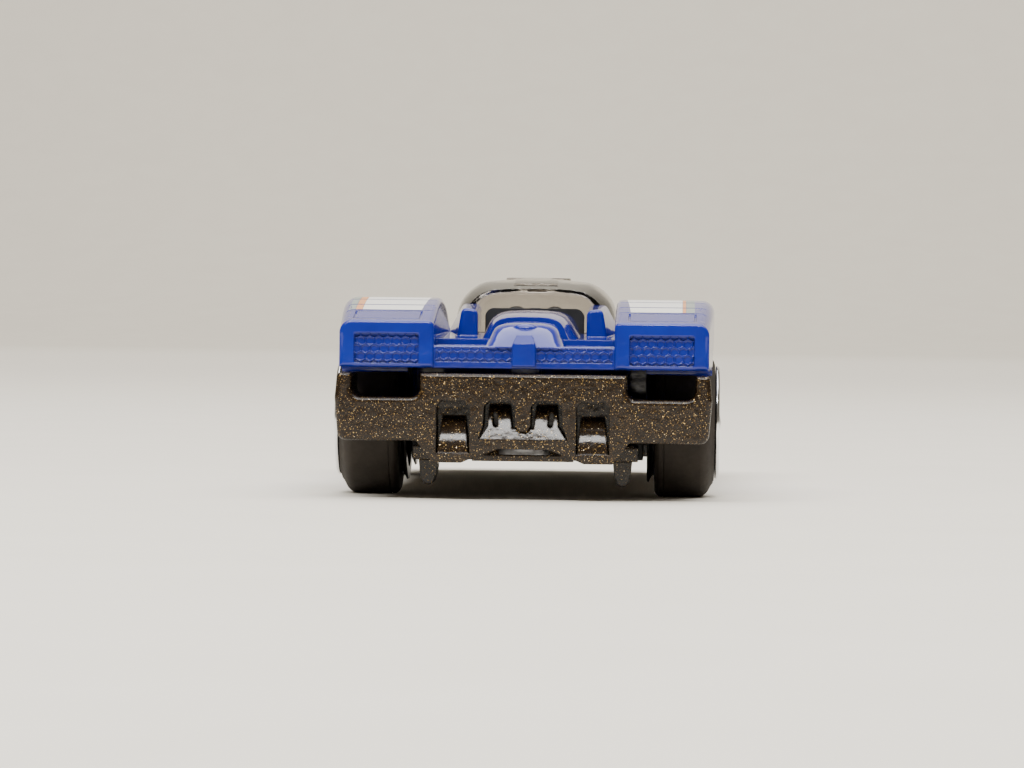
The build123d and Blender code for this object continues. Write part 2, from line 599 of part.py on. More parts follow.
with BuildPart() as chassis_base:
    # the bumper
    for side in SIDES.values():
        with BuildSketch(cross_plane(TAIL_Y)):
            with BuildLine():
                Polyline(*[(side * x, z) for x, z in WING_SECTION], close=True)
            make_face()
        extrude(amount=-(BUMPER_FRONT_Y - TAIL_Y))
    along = chassis_base.edges().filter_by(Axis.Y)
    fillet(along.filter_by(lambda e: abs(e.center().X) > 15 and e.center().Z < 6), radius=0.8)
    fillet(along.filter_by(lambda e: abs(e.center().X) > 15 and e.center().Z > 10), radius=0.4)
    for side in SIDES.values():
        with BuildSketch(cross_plane(TAIL_Y - 1)):
            with Locations((side * (NOTCH_XS[0] + NOTCH_XS[1]) / 2, NOTCH_BOTTOM_Z + 2.0)):
                RectangleRounded(NOTCH_XS[1] - NOTCH_XS[0], 4.0, 0.8)
        extrude(amount=-12.0, mode=Mode.SUBTRACT)
    bumper_rim = chassis_base.faces().sort_by(Axis.Y)[0].edges()
    fillet(bumper_rim.filter_by(lambda e: e.center().Z > 4.7), radius=0.38)
    # the pan between the wheels, out to the sills, and the front splitter
    with BuildSketch(Plane.XY.offset(FLOOR_Z)):
        with BuildLine():
            edge = Polyline(
                (0, BUMPER_FRONT_Y - 0.5),
                (7.6, BUMPER_FRONT_Y - 0.5),
                (9.7, BUMPER_FRONT_Y + 0.2),
                (9.7, -15.0),
                (14.7, -15.0),
                (14.2, 1.0),
                (14.7, 14.8),
                (11.9, 14.8),
                (11.9, 28.0),
                (14.9, 28.2),
                (14.4, 32.0),
                (12.6, 35.2),
                (7.0, 36.6),
                (0, NOSE_Y),
            )
            Line(edge @ 1, edge @ 0)
        make_face()
        mirror(about=Plane.YZ)
    extrude(amount=FLOOR_TOP_Z - FLOOR_Z)
    lip = chassis_base.edges().filter_by(lambda e: e.center().Y > 30 and abs(e.center().Z - FLOOR_Z) < 0.01)
    fillet(lip, radius=0.3)
    # bumper cavity, notches, post holes and clip openings
    for side in SIDES.values():
        with Locations((side * 5.2, -32.1, 8.6)):
            Box(5.0, 3.2, 4.5, mode=Mode.SUBTRACT)
    with BuildSketch(Plane.XY.offset(FLOOR_Z)):
        with Locations((0, POST_YS[1])):
            Circle(3.4)
    extrude(amount=5.6 - FLOOR_Z)
    with BuildSketch(cross_plane(TAIL_Y - 1.0)):
        with BuildLine():
            Polyline((-5.6, 3.0), (-4.5, 3.5), (-2.1, ARCH_Z), (2.1, ARCH_Z), (4.5, 3.5), (5.6, 3.0), close=True)
        make_face()
    extrude(amount=-9.6, mode=Mode.SUBTRACT)
    for y in POST_YS:
        with BuildSketch(Plane.XY.offset(FLOOR_Z - 1.0)):
            with Locations((0, y)):
                Circle(POST_HEAD_R + 0.2)
        extrude(amount=ARCH_Z - FLOOR_Z + 1.0, mode=Mode.SUBTRACT)
        with BuildSketch(Plane.XY.offset(FLOOR_Z - 1.0)):
            with Locations((0, y)):
                Circle(POST_R + FIT)
        extrude(amount=12.0, mode=Mode.SUBTRACT)
    for axle_y, _, _, inner_x, _ in WHEELS.values():
        slot_x = inner_x - CLIP_SIDE_GAP - CLIP_END
        for side in SIDES.values():
            with Locations((side * (slot_x + 2.0), axle_y, FLOOR_Z)):
                Box(4.0, 2 * CLIP_HALF_Y, 4.0, mode=Mode.SUBTRACT)
    # diffuser recesses in the bumper's rear face, each with a ramp that comes out to the face at its foot
    for outline, ramp_front, ramp_side in DIFFUSER:
        with BuildSketch(cross_plane(TAIL_Y - 1.0)):
            with BuildLine():
                Polyline(*outline, close=True)
            make_face()
        extrude(amount=-3.4, mode=Mode.SUBTRACT)
        with BuildPart(mode=Mode.PRIVATE) as ramp:
            with BuildSketch(side_plane(-8.0)):
                with BuildLine():
                    slope = Spline(*[(TAIL_Y + depth, z) for depth, z in ramp_side])
                    Polyline(slope @ 1, (TAIL_Y + 2.5, ramp_side[0][1]), slope @ 0)
                make_face()
            extrude(amount=16.0)
            with BuildSketch(cross_plane(TAIL_Y - 1.0)):
                with BuildLine():
                    Polyline(*ramp_front, close=True)
                make_face()
            extrude(amount=-4.0, mode=Mode.INTERSECT)
        add(ramp.part)
    for side in SIDES.values():
        with BuildSketch(cross_plane(TAIL_Y)):
            with Locations((side * 2.35, 6.85)):
                SlotCenterToCenter(0.75, 0.48, rotation=90 - side * 6)
        extrude(amount=-2.3, mode=Mode.SUBTRACT)
    # teeth under the tail
    for side in SIDES.values():
        with BuildSketch(cross_plane(FIN_YS[0])):
            with BuildLine():
                shank = Polyline(
                    (side * (FIN_X - 1.0), 4.6),
                    (side * (FIN_X - 0.75), 2.2),
                    (side * (FIN_X - 0.5), FIN_TIP_Z + 0.3),
                )
                ThreePointArc(
                    shank @ 1, (side * FIN_X, FIN_TIP_Z), (side * (FIN_X + 0.5), FIN_TIP_Z + 0.3)
                )
                Polyline(
                    (side * (FIN_X + 0.5), FIN_TIP_Z + 0.3),
                    (side * (FIN_X + 0.72), 2.2),
                    (side * (FIN_X + 0.95), 4.6),
                    shank @ 0,
                )
            make_face()
        extrude(amount=-(FIN_YS[1] - FIN_YS[0]))
    # bar across the arch, behind the post's head
    with Locations((0, TAIL_Y + 1.3, 3.62)):
        Box(8.6, 0.9, 0.56)
save(chassis_base.part, "chassis_base")

# ---------------------------------------------------------------- axles and their clips
for end, (axle_y, tyre_r, _, inner_x, lip_x) in WHEELS.items():
    clip_x = inner_x - CLIP_SIDE_GAP
    with BuildPart() as clip:
        with Locations((0, axle_y, FLOOR_TOP_Z + FIT)):
            Box(2 * clip_x, 2 * (CLIP_HALF_Y - FIT), 0.7, align=(Align.CENTER, Align.CENTER, Align.MIN))
        for side in SIDES.values():
            with BuildSketch(side_plane(side * (clip_x - (CLIP_END - FIT) / 2))):
                with BuildLine():
                    foot = CLIP_HALF_Y - FIT
                    Polyline(
                        (axle_y - foot, FLOOR_Z),
                        (axle_y - foot, FLOOR_TOP_Z + 0.7),
                        (axle_y - 1.1, tyre_r + 1.1),
                        (axle_y + 1.1, tyre_r + 1.1),
                        (axle_y + foot, FLOOR_TOP_Z + 0.7),
                        (axle_y + foot, FLOOR_Z),
                        close=True,
                    )
                make_face()
            extrude(amount=(CLIP_END - FIT) / 2, both=True)
        with BuildSketch(side_plane(-clip_x - 1.0)):
            with Locations((axle_y, tyre_r)):
                Circle(AXLE_R + AXLE_CLEARANCE)
        extrude(amount=2 * clip_x + 2.0, mode=Mode.SUBTRACT)
    save(clip.part, f"{end}_axle_clip")
    with BuildPart() as axle:
        with BuildSketch(Plane(origin=(0, axle_y, tyre_r), x_dir=(1, 0, 0), z_dir=(0, -1, 0))):
            with BuildLine():
                head_x = lip_x - HEAD_INSET
                rim_x = head_x + 0.15
                tip_x = head_x + 0.4
                Polyline(
                    (-tip_x, 0),
                    (-rim_x - 0.15, 0.6),
                    (-rim_x, AXLE_HEAD_R),
                    (-head_x, AXLE_HEAD_R),
                    (-head_x, AXLE_R),
                    (head_x, AXLE_R),
                    (head_x, AXLE_HEAD_R),
                    (rim_x, AXLE_HEAD_R),
                    (rim_x + 0.15, 0.6),
                    (tip_x, 0),
                    close=True,
                )
            make_face()
        revolve(axis=Axis((0, axle_y, tyre_r), (1, 0, 0)))
    save(axle.part, f"{end}_axle")

# ---------------------------------------------------------------- wheels
SPOKES = 5
for end, (axle_y, tyre_r, rim_r, inner_x, lip_x) in WHEELS.items():
    spin = Axis((0, axle_y, tyre_r), (1, 0, 0))
    bore_r = AXLE_R + AXLE_CLEARANCE
    well_r = rim_r - 0.5
    web_x = inner_x + 0.3 * (lip_x - inner_x)
    wall = tyre_r - rim_r
    for side_name, side in SIDES.items():
        wheel_plane = Plane(origin=(0, axle_y, tyre_r), x_dir=(side, 0, 0), z_dir=(0, -side, 0))
        with BuildPart() as core:
            with BuildSketch(wheel_plane):
                with BuildLine():
                    Polyline(
                        (inner_x, bore_r),
                        (inner_x, 1.6),
                        (web_x, 1.6),
                        (web_x, well_r),
                        (inner_x, well_r),
                        (inner_x, rim_r + 0.55),
                        (inner_x + 0.15, rim_r + 0.65),
                        (inner_x + 0.4, rim_r + 0.1),
                        (inner_x + 0.5, rim_r),
                        (lip_x - 0.4, rim_r),
                        (lip_x - 0.4, well_r),
                        (web_x + 0.8, well_r),
                        (web_x + 0.8, bore_r),
                        close=True,
                    )
                make_face()
            revolve(axis=spin)
        save(core.part, f"{end}_{side_name}_wheel_core")
        with BuildPart() as face:
            with BuildSketch(wheel_plane):
                with BuildLine():
                    Polyline(
                        (web_x + 0.85, well_r - 0.45),
                        (web_x + 0.85, well_r - 0.03),
                        (lip_x - 0.37, well_r - 0.03),
                        (lip_x - 0.37, rim_r + 0.22),
                        (lip_x - 0.2, rim_r + 0.28),
                        (lip_x, rim_r + 0.1),
                        (lip_x, rim_r - 0.3),
                        (lip_x - 0.6, well_r - 0.35),
                        close=True,
                    )
                with BuildLine():
                    Polyline(
                        (web_x + 0.85, bore_r),
                        (web_x + 0.85, 1.5),
                        (lip_x - 0.7, 1.25),
                        (lip_x - 0.3, 1.0),
                        (lip_x - 0.3, bore_r),
                        close=True,
                    )
                make_face()
            revolve(axis=spin)
            spoke_plane = Plane(origin=(0, axle_y, tyre_r), x_dir=(0, 1, 0), z_dir=(side, 0, 0))
            with BuildSketch(spoke_plane.offset(web_x + 1.2)):
                for index in range(SPOKES):
                    angle = 90 + index * 360 / SPOKES
                    middle_r = (well_r + 0.7) / 2
                    at = (middle_r * math.cos(math.radians(angle)), middle_r * math.sin(math.radians(angle)))
                    with Locations(at):
                        Rectangle(well_r - 1.0, 1.15, rotation=angle)
            extrude(amount=lip_x - 1.0 - web_x - 1.2)
        save(face.part, f"{end}_{side_name}_wheel_face")
        with BuildPart() as tyre:
            with BuildSketch(wheel_plane):
                with BuildLine():
                    tread = Polyline(
                        (lip_x - 0.48, rim_r + 0.02),
                        (inner_x + 0.6, rim_r + 0.02),
                        (inner_x + 0.6, tyre_r - 0.6),
                        (inner_x + 0.75, tyre_r - 0.2),
                        (inner_x + 1.05, tyre_r),
                        (lip_x - 1.6, tyre_r),
                    )
                    Spline(
                        tread @ 1,
                        (lip_x - 1.05, tyre_r - 0.2 * wall),
                        (lip_x - 0.62, tyre_r - 0.58 * wall),
                        (lip_x - TYRE_INSET, rim_r + 0.36),
                        tangents=[(1, 0), (0.2, -1)],
                    )
                    Polyline((lip_x - TYRE_INSET, rim_r + 0.36), (lip_x - 0.48, rim_r + 0.3), tread @ 0)
                make_face()
            revolve(axis=spin)
        save(tyre.part, f"{end}_{side_name}_tyre")
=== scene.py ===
import math

import bmesh
import bpy
from mathutils import Matrix, Vector
from mathutils.bvhtree import BVHTree


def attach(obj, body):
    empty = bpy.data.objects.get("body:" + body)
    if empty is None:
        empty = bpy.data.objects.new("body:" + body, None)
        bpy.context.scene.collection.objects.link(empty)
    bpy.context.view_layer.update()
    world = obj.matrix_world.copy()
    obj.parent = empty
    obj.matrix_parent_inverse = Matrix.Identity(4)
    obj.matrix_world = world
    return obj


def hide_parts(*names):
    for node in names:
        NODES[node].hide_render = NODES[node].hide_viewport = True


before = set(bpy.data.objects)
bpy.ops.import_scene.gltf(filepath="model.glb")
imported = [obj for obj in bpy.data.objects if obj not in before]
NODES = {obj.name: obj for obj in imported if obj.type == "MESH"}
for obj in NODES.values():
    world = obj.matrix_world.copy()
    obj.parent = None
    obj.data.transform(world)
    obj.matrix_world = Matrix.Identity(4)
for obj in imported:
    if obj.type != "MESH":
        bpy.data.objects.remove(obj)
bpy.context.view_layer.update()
MM = 0.001


# ---------------------------------------------------------------- materials
class Shader:
    """A principled material built from nodes, which read object coordinates."""

    def __init__(self, name):
        self.material = bpy.data.materials.new(name)
        self.material.use_nodes = True
        self.tree = self.material.node_tree
        self.tree.nodes.clear()
        self.out = self.tree.nodes.new("ShaderNodeOutputMaterial")
        self.base = self.tree.nodes.new("ShaderNodeBsdfPrincipled")
        self.tree.links.new(self.base.outputs[0], self.out.inputs["Surface"])
        self.coords = self.tree.nodes.new("ShaderNodeTexCoord").outputs["Object"]

    def set(self, **values):
        for key, value in values.items():
            self.base.inputs[key.replace("_", " ")].default_value = value
        return self

    def node(self, kind, inputs=None, **props):
        made = self.tree.nodes.new(kind)
        for key, value in props.items():
            setattr(made, key, value)
        for key, value in (inputs or {}).items():
            socket = made.inputs[key]
            if hasattr(value, "links"):
                self.tree.links.new(value, socket)
            else:
                socket.default_value = value
        return made

    def link(self, source, target):
        self.tree.links.new(source, self.base.inputs[target])

    def noise(self, scale, detail=3.0):
        """Noise through the object, about 0 to 1; scale is in cells per metre."""
        inputs = {"Vector": self.coords, "Scale": scale, "Detail": detail, "Roughness": 0.5}
        return self.node("ShaderNodeTexNoise", inputs).outputs["Fac"]

    def ramp(self, source, stops):
        made = self.node("ShaderNodeValToRGB", {"Fac": source})
        ramp = made.color_ramp
        while len(ramp.elements) < len(stops):
            ramp.elements.new(0.5)
        for element, (place, colour) in zip(ramp.elements, stops):
            element.position = place
            element.color = colour if len(colour) == 4 else (*colour, 1.0)
        return made.outputs["Color"]

    def mottle(self, scale, detail, dark, light, until=0.7):
        """An uneven tone between two colours."""
        return self.ramp(self.noise(scale, detail), [(0.3, dark), (until, light)])

    def spread(self, source, low, high):
        made = self.node("ShaderNodeMapRange", {"Value": source, "To Min": low, "To Max": high})
        return made.outputs["Result"]

    def bump(self, height, distance, strength=1.0, normal=None):
        inputs = {"Height": height, "Distance": distance, "Strength": strength}
        if normal is not None:
            inputs["Normal"] = normal
        return self.node("ShaderNodeBump", inputs).outputs["Normal"]

    def math(self, operation, a, b):
        return self.node("ShaderNodeMath", {0: a, 1: b}, operation=operation).outputs[0]

    def soft_edges(self, radius):
        return self.node("ShaderNodeBevel", {"Radius": radius}, samples=6).outputs["Normal"]


def mix_colour(s, factor, a, b):
    made = s.tree.nodes.new("ShaderNodeMix")
    made.data_type = "RGBA"
    for socket, value in ((made.inputs[0], factor), (made.inputs[6], a), (made.inputs[7], b)):
        if hasattr(value, "links"):
            s.tree.links.new(value, socket)
        else:
            socket.default_value = value
    return made.outputs[2]


POST_HEAD_TOP = 4.5 * MM  # the fixing posts are spun over below this height and lose their paint


def blue_enamel():
    s = Shader("blue_enamel")
    s.set(IOR=1.5, Specular_IOR_Level=0.08, Coat_Roughness=0.05, Coat_IOR=1.5)
    height = s.node("ShaderNodeSeparateXYZ", {"Vector": s.coords}).outputs["Z"]
    wear = s.noise(2400.0, 3.0)
    edge_z = s.spread(wear, POST_HEAD_TOP - 0.25 * MM, POST_HEAD_TOP + 0.1 * MM)
    bare = s.math("LESS_THAN", height, edge_z)
    tone = s.mottle(420.0, 2.0, (0.003, 0.011, 0.22), (0.005, 0.016, 0.27))
    zinc = s.mottle(3000.0, 3.0, (0.42, 0.42, 0.44), (0.56, 0.56, 0.58))
    s.link(mix_colour(s, bare, tone, zinc), "Base Color")
    s.link(bare, "Metallic")
    s.link(s.math("SUBTRACT", 1.0, bare), "Coat Weight")
    s.link(s.spread(s.noise(3800.0, 2.0), 0.34, 0.46), "Roughness")
    edge = s.soft_edges(0.16 * MM)
    peel = s.bump(s.noise(1100.0, 2.0), 0.010 * MM, 0.5, edge)
    s.link(peel, "Normal")
    s.link(peel, "Coat Normal")
    return s.material


FLAKE_REACH = 0.55  # how much of its cell a flake fills


def flake_layer(s, scale, share, edge, swing):
    """Random flakes: a mask, a random number for each and a normal that leans its own way."""
    cells = s.node("ShaderNodeTexVoronoi", {"Vector": s.coords, "Scale": scale}, feature="F1")
    pick = s.node("ShaderNodeSeparateColor", {"Color": cells.outputs["Color"]})
    near = s.math("LESS_THAN", cells.outputs["Distance"], FLAKE_REACH)
    rare = s.math("GREATER_THAN", pick.outputs["Red"], 1 - share)
    mask = s.math("MULTIPLY", near, rare)
    away = s.node(
        "ShaderNodeVectorMath", {0: cells.outputs["Color"], 1: (0.5, 0.5, 0.5)}, operation="SUBTRACT"
    ).outputs[0]
    away = s.node("ShaderNodeVectorMath", {0: away, "Scale": swing}, operation="SCALE").outputs[0]
    tilt = s.node("ShaderNodeVectorMath", {0: away, 1: edge}, operation="ADD").outputs[0]
    tilt = s.node("ShaderNodeVectorMath", {0: tilt}, operation="NORMALIZE").outputs[0]
    return mask, pick, tilt


# flake tones, dark brown to gold: partly the flakes' own colour and partly a painted warm reflection
FINE_TONES = [(0.0, (0.02, 0.010, 0.003)), (0.7, (0.07, 0.040, 0.012)), (1.0, (0.18, 0.11, 0.045))]
BOLD_TONES = [(0.0, (0.24, 0.14, 0.04)), (0.7, (0.44, 0.29, 0.11)), (1.0, (0.80, 0.66, 0.44))]


def sparkle_material():
    """Dark enamel full of fine metal flake, with a few large bright flakes, under clear lacquer; its warm
    brown ground and gold flakes are partly its own colour and partly a painted warm reflection.
    """
    s = Shader("sparkle_enamel")
    s.set(IOR=1.5, Specular_IOR_Level=0.05, Coat_Weight=0.6, Coat_Roughness=0.09, Coat_IOR=1.5)
    edge = s.soft_edges(0.2 * MM)
    fine, fine_pick, fine_tilt = flake_layer(s, 17000.0, 0.34, edge, 1.0)
    bold, bold_pick, _ = flake_layer(s, 12500.0, 0.06, edge, 0.8)
    # the ground's warm brown and the flakes' gold are partly their own colour and partly a painted warm
    # reflection
    ground = s.mottle(900.0, 5.0, (0.006, 0.003, 0.001), (0.012, 0.006, 0.002))
    dust = s.ramp(fine_pick.outputs["Green"], FINE_TONES)
    flake_gold_and_reflection = s.ramp(bold_pick.outputs["Green"], BOLD_TONES)
    s.link(mix_colour(s, bold, mix_colour(s, fine, ground, dust), flake_gold_and_reflection), "Base Color")
    either = s.math("MAXIMUM", fine, bold)
    s.link(s.spread(either, 0.1, 0.85), "Metallic")
    s.link(s.spread(either, 0.45, 0.28), "Roughness")
    s.link(fine_tilt, "Normal")
    s.link(s.bump(s.noise(1600.0, 3.0), 0.012 * MM, 0.8, edge), "Coat Normal")
    return s.material


def print_ink(name, low, high):
    """Printed ink: flat and slightly uneven."""
    s = Shader(name)
    s.set(IOR=1.45, Coat_Weight=0.3, Coat_Roughness=0.2)
    s.link(s.mottle(5200.0, 4.0, low, high), "Base Color")
    s.link(s.spread(s.noise(2600.0, 2.0), 0.35, 0.5), "Roughness")
    s.link(s.bump(s.noise(6000.0, 2.0), 0.004 * MM, 0.5), "Normal")
    return s.material


def smoke_plastic():
    """Clear grey smoke for the canopy."""
    s = Shader("smoke_plastic")
    s.set(IOR=1.46, Transmission_Weight=1.0, Specular_IOR_Level=0.5)
    s.link(s.mottle(300.0, 2.0, (0.50, 0.46, 0.41), (0.56, 0.52, 0.47)), "Base Color")
    s.link(s.spread(s.noise(2500.0, 2.0), 0.02, 0.06), "Roughness")
    s.link(s.bump(s.noise(500.0, 1.0), 0.01 * MM, 0.4, s.soft_edges(0.1 * MM)), "Normal")
    return s.material


def black_plastic(name="black_plastic", low=0.38, high=0.6, tone=0.012):
    s = Shader(name)
    s.set(IOR=1.48)
    s.link(s.mottle(900.0, 3.0, (tone, tone, tone), (tone * 1.8, tone * 1.8, tone * 1.9)), "Base Color")
    s.link(s.spread(s.noise(5200.0, 2.0), low, high), "Roughness")
    s.link(s.bump(s.noise(6500.0, 2.0), 0.012 * MM, 0.6, s.soft_edges(0.08 * MM)), "Normal")
    return s.material


def tyre_rubber():
    s = Shader("tyre_rubber")
    s.set(IOR=1.5, Specular_IOR_Level=0.35)
    tone = s.mottle(520.0, 4.0, (0.018, 0.014, 0.011), (0.032, 0.025, 0.019), until=0.75)
    s.link(tone, "Base Color")
    s.link(s.spread(s.noise(2600.0, 3.0), 0.62, 0.85), "Roughness")
    s.link(s.bump(s.noise(7500.0, 3.0), 0.02 * MM, 0.7, s.soft_edges(0.1 * MM)), "Normal")
    return s.material


def plated_face():
    s = Shader("plated_face")
    s.set(Metallic=1.0, IOR=1.5)
    s.link(s.mottle(800.0, 2.0, (0.74, 0.75, 0.77), (0.84, 0.84, 0.85)), "Base Color")
    s.link(s.spread(s.noise(3000.0, 3.0), 0.07, 0.2), "Roughness")
    s.link(s.bump(s.noise(1800.0, 2.0), 0.006 * MM, 0.5, s.soft_edges(0.07 * MM)), "Normal")
    return s.material


def steel_wire():
    s = Shader("steel_wire")
    s.set(Metallic=1.0)
    s.link(s.mottle(900.0, 3.0, (0.46, 0.46, 0.47), (0.60, 0.60, 0.61)), "Base Color")
    s.link(s.spread(s.noise(4000.0, 3.0), 0.22, 0.4), "Roughness")
    s.link(s.bump(s.noise(5200.0, 2.0), 0.005 * MM, 0.5, s.soft_edges(0.05 * MM)), "Normal")
    return s.material


def assign(obj, material):
    """Gives the whole mesh one material."""
    obj.data.materials.clear()
    obj.data.materials.append(material)
    for polygon in obj.data.polygons:
        polygon.material_index = 0


BLUE = blue_enamel()
SPARKLE = sparkle_material()
SMOKE = smoke_plastic()
BLACK = black_plastic()
CORE = black_plastic("wheel_black", 0.25, 0.4, 0.01)
RUBBER = tyre_rubber()
CHROME = plated_face()
STEEL = steel_wire()
WHITE_INK = print_ink("ink_white", (0.72, 0.71, 0.68), (0.82, 0.81, 0.78))
ORANGE_INK = print_ink("ink_orange", (0.66, 0.26, 0.08), (0.74, 0.32, 0.11))
GREY_INK = print_ink("ink_grey", (0.22, 0.26, 0.24), (0.29, 0.33, 0.30))

LOOKS = {
    "body_shell": BLUE,
    "chassis_base": SPARKLE,
    "canopy": SMOKE,
    "interior_tub": BLACK,
    "rear_axle_clip": BLACK,
    "front_axle_clip": BLACK,
    "rear_axle": STEEL,
    "front_axle": STEEL,
}
for end in ("rear", "front"):
    for side in ("left", "right"):
        LOOKS[f"{end}_{side}_wheel_core"] = CORE
for name, material in LOOKS.items():
    assign(NODES[name], material)


# ---------------------------------------------------------------- mesh helpers
def add_piece(name, mesh, material, body, sharp=32):
    """Links a mesh as a piece that rides on a body."""
    mesh.validate()
    for polygon in mesh.polygons:
        polygon.use_smooth = True
    mesh.set_sharp_from_angle(angle=math.radians(sharp))
    obj = bpy.data.objects.new(name, mesh)
    bpy.context.scene.collection.objects.link(obj)
    obj.data.materials.append(material)
    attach(obj, body)
    return obj


def rounded(points, radius, steps=5, closed=True):
    """A polyline with each corner turned into a small curve; a point's own radius may come third."""
    count = len(points)
    out = []
    for i, point in enumerate(points):
        here = Vector(point[:2])
        if not closed and i in (0, count - 1):
            out.append(here)
            continue
        before = Vector(points[i - 1][:2]) - here
        after = Vector(points[(i + 1) % count][:2]) - here
        reach = point[2] if len(point) > 2 else radius
        reach = min(reach, 0.48 * before.length, 0.48 * after.length)
        if reach <= 0:
            out.append(here)
            continue
        a = here + before.normalized() * reach
        b = here + after.normalized() * reach
        for k in range(steps + 1):
            t = k / steps
            out.append(a * (1 - t) ** 2 + here * 2 * t * (1 - t) + b * t**2)
    return out


def lathe(bm, profile, centre, side, segments=128):
    """Turns a closed (x, r) profile about the axle; x is measured outwards from the car's middle."""
    y0, z0 = centre
    rings = []
    for k in range(segments):
        c, s = math.cos(2 * math.pi * k / segments), math.sin(2 * math.pi * k / segments)
        rings.append([bm.verts.new((side * x * MM, (y0 + r * c) * MM, (z0 + r * s) * MM)) for x, r in profile])
    n = len(profile)
    for k in range(segments):
        one, two = rings[k], rings[(k + 1) % segments]
        for i in range(n):
            j = (i + 1) % n
            bm.faces.new((one[i], two[i], two[j], one[j]))


def finish_mesh(bm, name):
    bmesh.ops.remove_doubles(bm, verts=bm.verts, dist=1e-7)
    bmesh.ops.recalc_face_normals(bm, faces=bm.faces)
    mesh = bpy.data.meshes.new(name)
    bm.to_mesh(mesh)
    bm.free()
    return mesh


# ---------------------------------------------------------------- wheels
# each axle's centre (y, z), tyre radius, rim radius, and the wheel's inner and outer x, in mm
WHEELS = {
    "rear": ((-22.6, 6.55), 6.55, 4.7, 10.45, 16.75),
    "front": ((21.4, 5.6), 5.6, 4.0, 12.45, 16.35),
}
SPOKES = 5
HUB_FACE = 0.87  # how far the plated face starts outside the core's web
NUT_CIRCLE_R = 1.22
NUT_R = 0.2


def tyre_profile(tyre_r, rim_r, inner_x, lip_x):
    """The tyre's section: bead, lettering step, conical wall, shoulder, tread and one groove."""
    outer = lip_x - 0.42
    wall = tyre_r - rim_r
    points = [
        (outer - 0.1, rim_r + 0.03, 0),
        (outer - 0.1, rim_r + 0.30, 0),
        (outer, rim_r + 0.34, 0.04),
        (outer - 0.03, rim_r + 0.46, 0.04),
        (outer - 0.10, rim_r + 0.49, 0.03),
        (outer - 0.12, rim_r + 0.58, 0.03),
        (outer - 0.08, rim_r + 0.62, 0.03),
        (lip_x - 0.66, tyre_r - 0.56 * wall, 0.3),
        (lip_x - 1.02, tyre_r - 0.19 * wall, 0.35),
        (lip_x - 1.48, tyre_r, 0.35),
        (inner_x + 1.52, tyre_r, 0),
        (inner_x + 1.49, tyre_r - 0.07, 0),
        (inner_x + 1.38, tyre_r - 0.07, 0),
        (inner_x + 1.35, tyre_r, 0),
        (inner_x + 1.02, tyre_r, 0.2),
        (inner_x + 0.68, tyre_r - 0.38, 0.2),
        (inner_x + 0.62, rim_r + 0.03, 0),
    ]
    return rounded(points, 0.1)


def lip_profile(rim_r, web_x, lip_x):
    """The section of the plated rim and its outer lip."""
    well_r = rim_r - 0.5
    points = [
        (web_x + HUB_FACE, well_r - 0.42),
        (web_x + HUB_FACE, well_r - 0.04),
        (lip_x - 0.36, well_r - 0.04),
        (lip_x - 0.36, rim_r + 0.22),
        (lip_x - 0.22, rim_r + 0.27),
        (lip_x - 0.02, rim_r + 0.12),
        (lip_x - 0.02, rim_r - 0.16),
        (lip_x - 0.18, rim_r - 0.30),
        (lip_x - 0.24, rim_r - 0.58),
        (lip_x - 0.62, rim_r - 0.72),
        (lip_x - 0.9, rim_r - 0.9),
    ]
    return rounded(points, 0.07)


def hub_profile(web_x, lip_x):
    """The section of the hub, bored for the axle's head."""
    points = [
        (web_x + HUB_FACE, 0.57, 0),
        (web_x + HUB_FACE, 1.50),
        (lip_x - 0.95, 1.48),
        (lip_x - 0.72, 1.22),
        (lip_x - 0.52, 1.18),
        (lip_x - 0.32, 1.02),
        (lip_x - 0.32, 0.57, 0),
    ]
    return rounded(points, 0.08)


def add_spoke(bm, angle, rim_r, web_x, lip_x, side, centre):
    """One spoke from hub to rim: it widens outwards, with a raised spine along its middle."""
    y0, z0 = centre
    c, s = math.cos(angle), math.sin(angle)
    stations = [
        (1.05, 0.50, lip_x - 0.62),
        (1.9, 0.46, lip_x - 0.86),
        (rim_r - 1.5, 0.50, lip_x - 0.92),
        (rim_r - 0.72, 0.72, lip_x - 0.72),
    ]
    back = web_x + 0.95
    loops = []
    for r, half, top in stations:
        spine, shoulder = half * 0.42, top - 0.16
        right = [(spine, top), (half, shoulder), (half, back)]
        section = rounded([(-across, x) for across, x in right[::-1]] + right, 0.09, 3)
        loop = []
        for across, x in section:
            y = y0 + r * c - across * s
            z = z0 + r * s + across * c
            loop.append(bm.verts.new((side * x * MM, y * MM, z * MM)))
        loops.append(loop)
    n = len(loops[0])
    for one, two in zip(loops, loops[1:]):
        for i in range(n):
            j = (i + 1) % n
            bm.faces.new((one[i], one[j], two[j], two[i]))
    bm.faces.new(loops[0])
    bm.faces.new(loops[-1][::-1])


def add_nut(bm, at, x0, x1, radius, side, sides=6):
    """A small chamfered hexagonal nut, standing out from x0 to x1."""
    rings = []
    for x, r in ((x0, radius), (x1 - 0.05, radius), (x1, radius * 0.72)):
        ring = []
        for k in range(sides):
            a = 2 * math.pi * (k + 0.5) / sides
            y, z = at[0] + r * math.cos(a), at[1] + r * math.sin(a)
            ring.append(bm.verts.new((side * x * MM, y * MM, z * MM)))
        rings.append(ring)
    for one, two in zip(rings, rings[1:]):
        for i in range(sides):
            j = (i + 1) % sides
            bm.faces.new((one[i], one[j], two[j], two[i]))
    bm.faces.new(rings[0])
    bm.faces.new(rings[-1][::-1])


